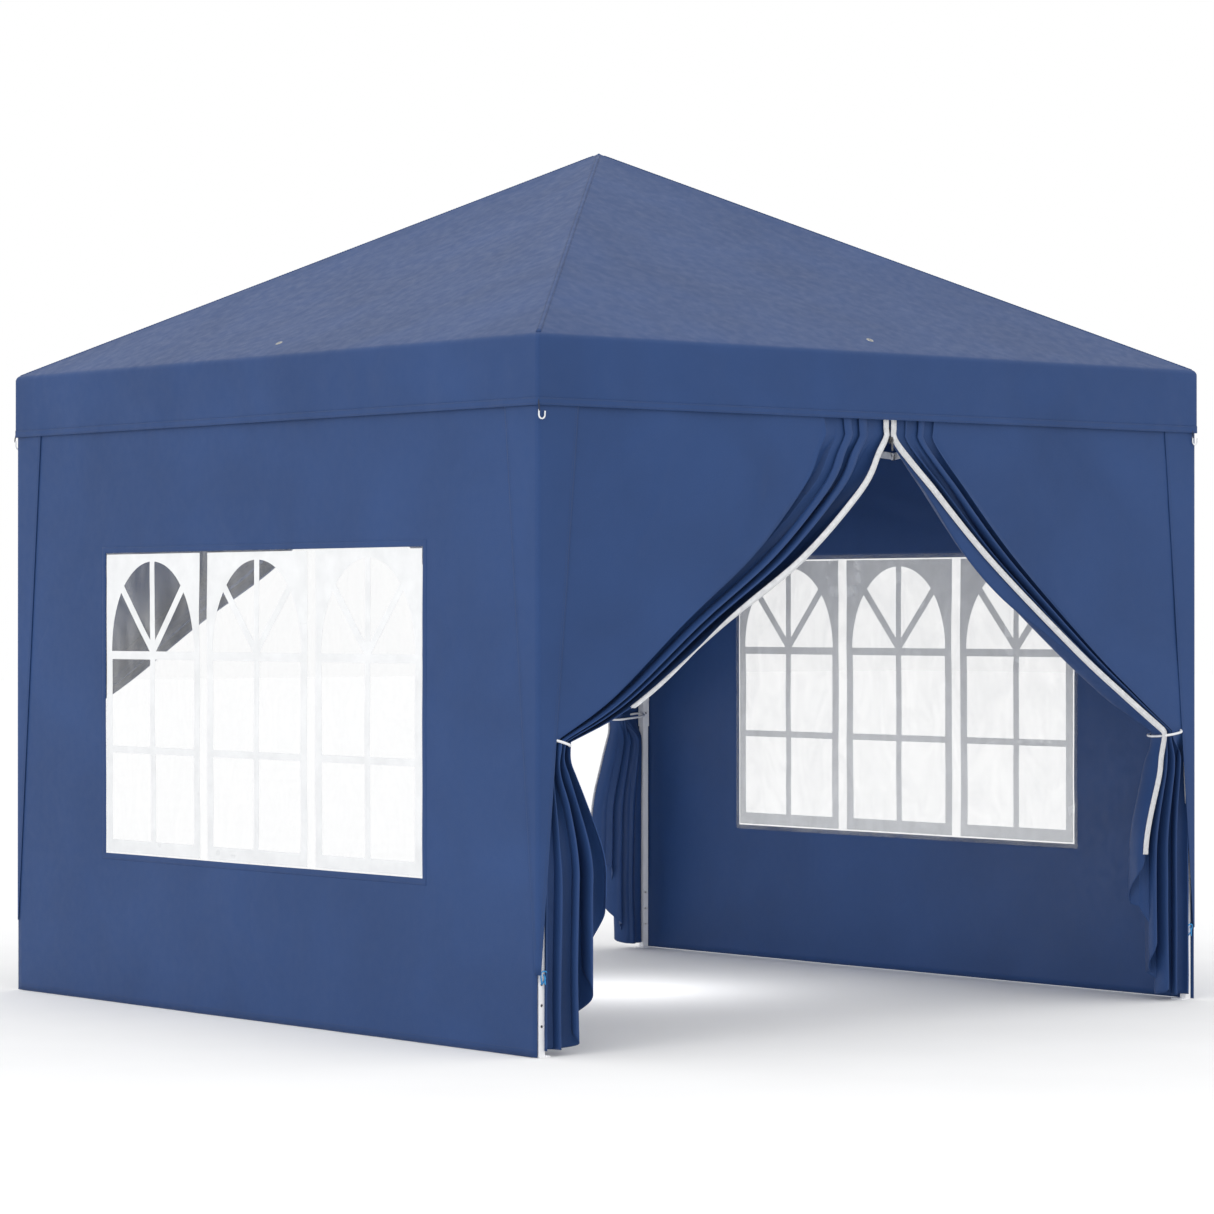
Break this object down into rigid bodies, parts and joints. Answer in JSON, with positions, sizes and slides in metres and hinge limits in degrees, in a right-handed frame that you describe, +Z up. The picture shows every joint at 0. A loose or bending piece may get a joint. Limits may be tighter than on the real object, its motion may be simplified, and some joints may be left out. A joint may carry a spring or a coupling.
{
  "type": "pop up canopy",
  "caption": "Square folding canopy with a pyramid roof, telescoping legs, window walls on two sides and doors tied back on the other two.",
  "frame": {"origin": "on the ground at the middle of the four legs", "axes": "+Z up; the doors are at -Y (front) and +Y (back), the windows at -X (left) and +X (right)"},
  "size_m": [2.956, 2.956, 2.9571],
  "materials": {
    "leg_steel": "smooth white powder coat on steel tube",
    "bar_steel": "smooth white powder coat on steel tube",
    "bracket_plastic": "black moulded nylon, fine grain",
    "button_metal": "plated steel",
    "pole_metal": "satin drawn tube",
    "blue_fabric": "coated polyester cloth, fine weave, low sheen",
    "window_film": "clear film printed with white glazing bars"
  },
  "bodies": {
    "front_left_leg": {"upper_leg_front_left": "leg_steel", "top_bracket_front_left": "bracket_plastic", "window_wall_left": "blue_fabric", "window_pane_left": "window_film", "front_curtain_left": "blue_fabric", "roof_cover": "blue_fabric"},
    "front_right_leg": {"upper_leg_front_right": "leg_steel", "top_bracket_front_right": "bracket_plastic", "window_wall_right": "blue_fabric", "window_pane_right": "window_film", "front_curtain_right": "blue_fabric"},
    "back_right_leg": {"upper_leg_back_right": "leg_steel", "top_bracket_back_right": "bracket_plastic", "back_curtain_right": "blue_fabric"},
    "back_left_leg": {"upper_leg_back_left": "leg_steel", "top_bracket_back_left": "bracket_plastic", "back_curtain_left": "blue_fabric"},
    "front_left_lower_leg": {"lower_leg_front_left": "leg_steel"},
    "front_left_slider": {"slider_front_left": "bracket_plastic"},
    "front_left_pull_pin": {"pull_pin_front_left": "button_metal"},
    "front_left_leg_button": {"leg_button_front_left": "button_metal"},
    "front_right_lower_leg": {"lower_leg_front_right": "leg_steel"},
    "front_right_slider": {"slider_front_right": "bracket_plastic"},
    "front_right_pull_pin": {"pull_pin_front_right": "button_metal"},
    "front_right_leg_button": {"leg_button_front_right": "button_metal"},
    "back_right_lower_leg": {"lower_leg_back_right": "leg_steel"},
    "back_right_slider": {"slider_back_right": "bracket_plastic"},
    "back_right_pull_pin": {"pull_pin_back_right": "button_metal"},
    "back_right_leg_button": {"leg_button_back_right": "button_metal"},
    "back_left_lower_leg": {"lower_leg_back_left": "leg_steel"},
    "back_left_slider": {"slider_back_left": "bracket_plastic"},
    "back_left_pull_pin": {"pull_pin_back_left": "button_metal"},
    "back_left_leg_button": {"leg_button_back_left": "button_metal"},
    "front_bar_1": {"front_bar_1": "bar_steel"},
    "front_bar_2": {"front_bar_2": "bar_steel"},
    "front_bar_3": {"front_bar_3": "bar_steel"},
    "front_bar_4": {"front_bar_4": "bar_steel"},
    "back_bar_1": {"back_bar_1": "bar_steel"},
    "back_bar_2": {"back_bar_2": "bar_steel"},
    "back_bar_3": {"back_bar_3": "bar_steel"},
    "back_bar_4": {"back_bar_4": "bar_steel"},
    "left_bar_1": {"left_bar_1": "bar_steel"},
    "left_bar_2": {"left_bar_2": "bar_steel"},
    "left_bar_3": {"left_bar_3": "bar_steel"},
    "left_bar_4": {"left_bar_4": "bar_steel"},
    "right_bar_1": {"right_bar_1": "bar_steel"},
    "right_bar_2": {"right_bar_2": "bar_steel"},
    "right_bar_3": {"right_bar_3": "bar_steel"},
    "right_bar_4": {"right_bar_4": "bar_steel"},
    "centre_bar_1": {"centre_bar_1": "bar_steel"},
    "centre_bar_2": {"centre_bar_2": "bar_steel"},
    "centre_bar_3": {"centre_bar_3": "bar_steel"},
    "centre_bar_4": {"centre_bar_4": "bar_steel"},
    "mid_bracket_front_top": {"mid_bracket_front_top": "bracket_plastic"},
    "mid_bracket_front_bottom": {"mid_bracket_front_bottom": "bracket_plastic"},
    "mid_bracket_back_top": {"mid_bracket_back_top": "bracket_plastic"},
    "mid_bracket_back_bottom": {"mid_bracket_back_bottom": "bracket_plastic"},
    "centre_bracket_top": {"centre_bracket_top": "bracket_plastic"},
    "centre_bracket_bottom": {"centre_bracket_bottom": "bracket_plastic", "roof_pole": "pole_metal"}
  },
  "joints": [
    {"name": "frame_fold", "type": "hinge", "parent": "front_left_leg", "child": "front_bar_1", "pos_m": [-1.402, -1.447, 2.12], "axis": [0, 1, 0], "range_deg": [0, 36.4], "deforming": ["roof_cover", "window_wall_left", "window_wall_right", "window_pane_left", "window_pane_right", "front_curtain_left", "front_curtain_right", "back_curtain_left", "back_curtain_right"]},
    {"name": "front_bar_2_hinge", "type": "hinge", "parent": "front_bar_1", "child": "front_bar_2", "pos_m": [-0.718, -1.447, 2.025], "axis": [0, 1, 0], "range_deg": [-72.8, 0]},
    {"name": "mid_bracket_front_top_hinge", "type": "hinge", "parent": "front_bar_2", "child": "mid_bracket_front_top", "pos_m": [-0.034, -1.447, 2.12], "axis": [0, 1, 0], "range_deg": [0, 36.4]},
    {"name": "mid_bracket_front_bottom_hinge", "type": "hinge", "parent": "front_bar_1", "child": "mid_bracket_front_bottom", "pos_m": [-0.034, -1.447, 1.93], "axis": [0, 1, 0], "range_deg": [-36.4, 0]},
    {"name": "front_bar_3_hinge", "type": "hinge", "parent": "mid_bracket_front_top", "child": "front_bar_3", "pos_m": [0.034, -1.447, 2.12], "axis": [0, 1, 0], "range_deg": [0, 36.4]},
    {"name": "front_bar_4_hinge", "type": "hinge", "parent": "front_bar_3", "child": "front_bar_4", "pos_m": [0.718, -1.447, 2.025], "axis": [0, 1, 0], "range_deg": [-72.8, 0]},
    {"name": "front_right_leg_hinge", "type": "hinge", "parent": "front_bar_4", "child": "front_right_leg", "pos_m": [1.402, -1.447, 2.12], "axis": [0, 1, 0], "range_deg": [0, 36.4]},
    {"name": "front_left_slider_hinge", "type": "hinge", "parent": "front_bar_2", "child": "front_left_slider", "pos_m": [-1.402, -1.447, 1.93], "axis": [0, 1, 0], "range_deg": [0, 36.4]},
    {"name": "front_right_slider_hinge", "type": "hinge", "parent": "front_bar_3", "child": "front_right_slider", "pos_m": [1.402, -1.447, 1.93], "axis": [0, 1, 0], "range_deg": [-36.4, 0]},
    {"name": "left_bar_1_hinge", "type": "hinge", "parent": "front_left_leg", "child": "left_bar_1", "pos_m": [-1.447, -1.368, 2.12], "axis": [-1, 0, 0], "range_deg": [0, 36.4]},
    {"name": "left_bar_2_hinge", "type": "hinge", "parent": "left_bar_1", "child": "left_bar_2", "pos_m": [-1.447, -0.684, 2.025], "axis": [-1, 0, 0], "range_deg": [-72.8, 0]},
    {"name": "left_bar_3_hinge", "type": "hinge", "parent": "left_bar_2", "child": "left_bar_3", "pos_m": [-1.447, 0, 2.12], "axis": [-1, 0, 0], "range_deg": [0, 72.8]},
    {"name": "left_bar_4_hinge", "type": "hinge", "parent": "left_bar_3", "child": "left_bar_4", "pos_m": [-1.447, 0.684, 2.025], "axis": [-1, 0, 0], "range_deg": [-72.8, 0]},
    {"name": "back_left_leg_hinge", "type": "hinge", "parent": "left_bar_4", "child": "back_left_leg", "pos_m": [-1.447, 1.368, 2.12], "axis": [-1, 0, 0], "range_deg": [0, 36.4]},
    {"name": "back_left_slider_hinge", "type": "hinge", "parent": "left_bar_3", "child": "back_left_slider", "pos_m": [-1.447, 1.368, 1.93], "axis": [-1, 0, 0], "range_deg": [-36.4, 0]},
    {"name": "right_bar_1_hinge", "type": "hinge", "parent": "front_right_leg", "child": "right_bar_1", "pos_m": [1.447, -1.368, 2.12], "axis": [-1, 0, 0], "range_deg": [0, 36.4]},
    {"name": "right_bar_2_hinge", "type": "hinge", "parent": "right_bar_1", "child": "right_bar_2", "pos_m": [1.447, -0.684, 2.025], "axis": [-1, 0, 0], "range_deg": [-72.8, 0]},
    {"name": "right_bar_3_hinge", "type": "hinge", "parent": "right_bar_2", "child": "right_bar_3", "pos_m": [1.447, 0, 2.12], "axis": [-1, 0, 0], "range_deg": [0, 72.8]},
    {"name": "right_bar_4_hinge", "type": "hinge", "parent": "right_bar_3", "child": "right_bar_4", "pos_m": [1.447, 0.684, 2.025], "axis": [-1, 0, 0], "range_deg": [-72.8, 0]},
    {"name": "back_right_leg_hinge", "type": "hinge", "parent": "right_bar_4", "child": "back_right_leg", "pos_m": [1.447, 1.368, 2.12], "axis": [-1, 0, 0], "range_deg": [0, 36.4]},
    {"name": "back_right_slider_hinge", "type": "hinge", "parent": "right_bar_3", "child": "back_right_slider", "pos_m": [1.447, 1.368, 1.93], "axis": [-1, 0, 0], "range_deg": [-36.4, 0]},
    {"name": "back_bar_1_hinge", "type": "hinge", "parent": "back_left_leg", "child": "back_bar_1", "pos_m": [-1.402, 1.447, 2.12], "axis": [0, 1, 0], "range_deg": [0, 36.4]},
    {"name": "back_bar_2_hinge", "type": "hinge", "parent": "back_bar_1", "child": "back_bar_2", "pos_m": [-0.718, 1.447, 2.025], "axis": [0, 1, 0], "range_deg": [-72.8, 0]},
    {"name": "mid_bracket_back_top_hinge", "type": "hinge", "parent": "back_bar_2", "child": "mid_bracket_back_top", "pos_m": [-0.034, 1.447, 2.12], "axis": [0, 1, 0], "range_deg": [0, 36.4]},
    {"name": "mid_bracket_back_bottom_hinge", "type": "hinge", "parent": "back_bar_1", "child": "mid_bracket_back_bottom", "pos_m": [-0.034, 1.447, 1.93], "axis": [0, 1, 0], "range_deg": [-36.4, 0]},
    {"name": "back_bar_3_hinge", "type": "hinge", "parent": "mid_bracket_back_top", "child": "back_bar_3", "pos_m": [0.034, 1.447, 2.12], "axis": [0, 1, 0], "range_deg": [0, 36.4]},
    {"name": "back_bar_4_hinge", "type": "hinge", "parent": "back_bar_3", "child": "back_bar_4", "pos_m": [0.718, 1.447, 2.025], "axis": [0, 1, 0], "range_deg": [-72.8, 0]},
    {"name": "centre_bar_1_hinge", "type": "hinge", "parent": "mid_bracket_front_top", "child": "centre_bar_1", "pos_m": [0, -1.402, 2.12], "axis": [-1, 0, 0], "range_deg": [0, 36.4]},
    {"name": "centre_bar_2_hinge", "type": "hinge", "parent": "centre_bar_1", "child": "centre_bar_2", "pos_m": [0, -0.718, 2.025], "axis": [-1, 0, 0], "range_deg": [-72.8, 0]},
    {"name": "centre_bracket_top_hinge", "type": "hinge", "parent": "centre_bar_2", "child": "centre_bracket_top", "pos_m": [0, -0.034, 2.12], "axis": [-1, 0, 0], "range_deg": [0, 36.4]},
    {"name": "centre_bracket_bottom_hinge", "type": "hinge", "parent": "centre_bar_1", "child": "centre_bracket_bottom", "pos_m": [0, -0.034, 1.93], "axis": [-1, 0, 0], "range_deg": [-36.4, 0]},
    {"name": "centre_bar_4_hinge", "type": "hinge", "parent": "centre_bracket_bottom", "child": "centre_bar_4", "pos_m": [0, 0.034, 1.93], "axis": [-1, 0, 0], "range_deg": [-36.4, 0]},
    {"name": "centre_bar_3_hinge", "type": "hinge", "parent": "centre_bar_4", "child": "centre_bar_3", "pos_m": [0, 0.718, 2.025], "axis": [-1, 0, 0], "range_deg": [0, 72.8]},
    {"name": "leg_slide_front_left", "type": "slide", "parent": "front_left_leg", "child": "front_left_lower_leg", "axis": [0, 0, 1], "range_m": [0, 0.86]},
    {"name": "leg_button_front_left_press", "type": "slide", "parent": "front_left_lower_leg", "child": "front_left_leg_button", "axis": [0, -1, 0], "range_m": [0, 0.004], "stiffness_N_per_m": 400},
    {"name": "pull_pin_front_left_pull", "type": "slide", "parent": "front_left_slider", "child": "front_left_pull_pin", "axis": [1, 0, 0], "range_m": [0, 0.008], "stiffness_N_per_m": 400},
    {"name": "leg_slide_front_right", "type": "slide", "parent": "front_right_leg", "child": "front_right_lower_leg", "axis": [0, 0, 1], "range_m": [0, 0.86]},
    {"name": "leg_button_front_right_press", "type": "slide", "parent": "front_right_lower_leg", "child": "front_right_leg_button", "axis": [0, -1, 0], "range_m": [0, 0.004], "stiffness_N_per_m": 400},
    {"name": "pull_pin_front_right_pull", "type": "slide", "parent": "front_right_slider", "child": "front_right_pull_pin", "axis": [-1, 0, 0], "range_m": [0, 0.008], "stiffness_N_per_m": 400},
    {"name": "leg_slide_back_right", "type": "slide", "parent": "back_right_leg", "child": "back_right_lower_leg", "axis": [0, 0, 1], "range_m": [0, 0.86]},
    {"name": "leg_button_back_right_press", "type": "slide", "parent": "back_right_lower_leg", "child": "back_right_leg_button", "axis": [0, 1, 0], "range_m": [0, 0.004], "stiffness_N_per_m": 400},
    {"name": "pull_pin_back_right_pull", "type": "slide", "parent": "back_right_slider", "child": "back_right_pull_pin", "axis": [-1, 0, 0], "range_m": [0, 0.008], "stiffness_N_per_m": 400},
    {"name": "leg_slide_back_left", "type": "slide", "parent": "back_left_leg", "child": "back_left_lower_leg", "axis": [0, 0, 1], "range_m": [0, 0.86]},
    {"name": "leg_button_back_left_press", "type": "slide", "parent": "back_left_lower_leg", "child": "back_left_leg_button", "axis": [0, 1, 0], "range_m": [0, 0.004], "stiffness_N_per_m": 400},
    {"name": "pull_pin_back_left_pull", "type": "slide", "parent": "back_left_slider", "child": "back_left_pull_pin", "axis": [1, 0, 0], "range_m": [0, 0.008], "stiffness_N_per_m": 400}
  ],
  "couplings": [
    {"joint": "front_bar_2_hinge", "follows": "frame_fold", "ratio": -2},
    {"joint": "mid_bracket_front_top_hinge", "follows": "frame_fold", "ratio": 1},
    {"joint": "mid_bracket_front_bottom_hinge", "follows": "frame_fold", "ratio": -1},
    {"joint": "front_bar_3_hinge", "follows": "frame_fold", "ratio": 1},
    {"joint": "front_bar_4_hinge", "follows": "frame_fold", "ratio": -2},
    {"joint": "front_right_leg_hinge", "follows": "frame_fold", "ratio": 1},
    {"joint": "front_left_slider_hinge", "follows": "frame_fold", "ratio": 1},
    {"joint": "front_right_slider_hinge", "follows": "frame_fold", "ratio": -1},
    {"joint": "left_bar_1_hinge", "follows": "frame_fold", "ratio": 1},
    {"joint": "left_bar_2_hinge", "follows": "frame_fold", "ratio": -2},
    {"joint": "left_bar_3_hinge", "follows": "frame_fold", "ratio": 2},
    {"joint": "left_bar_4_hinge", "follows": "frame_fold", "ratio": -2},
    {"joint": "back_left_leg_hinge", "follows": "frame_fold", "ratio": 1},
    {"joint": "back_left_slider_hinge", "follows": "frame_fold", "ratio": -1},
    {"joint": "right_bar_1_hinge", "follows": "frame_fold", "ratio": 1},
    {"joint": "right_bar_2_hinge", "follows": "frame_fold", "ratio": -2},
    {"joint": "right_bar_3_hinge", "follows": "frame_fold", "ratio": 2},
    {"joint": "right_bar_4_hinge", "follows": "frame_fold", "ratio": -2},
    {"joint": "back_right_leg_hinge", "follows": "frame_fold", "ratio": 1},
    {"joint": "back_right_slider_hinge", "follows": "frame_fold", "ratio": -1},
    {"joint": "back_bar_1_hinge", "follows": "frame_fold", "ratio": 1},
    {"joint": "back_bar_2_hinge", "follows": "frame_fold", "ratio": -2},
    {"joint": "mid_bracket_back_top_hinge", "follows": "frame_fold", "ratio": 1},
    {"joint": "mid_bracket_back_bottom_hinge", "follows": "frame_fold", "ratio": -1},
    {"joint": "back_bar_3_hinge", "follows": "frame_fold", "ratio": 1},
    {"joint": "back_bar_4_hinge", "follows": "frame_fold", "ratio": -2},
    {"joint": "centre_bar_1_hinge", "follows": "frame_fold", "ratio": 1},
    {"joint": "centre_bar_2_hinge", "follows": "frame_fold", "ratio": -2},
    {"joint": "centre_bracket_top_hinge", "follows": "frame_fold", "ratio": 1},
    {"joint": "centre_bracket_bottom_hinge", "follows": "frame_fold", "ratio": -1},
    {"joint": "centre_bar_4_hinge", "follows": "frame_fold", "ratio": -1},
    {"joint": "centre_bar_3_hinge", "follows": "frame_fold", "ratio": 2}
  ]
}
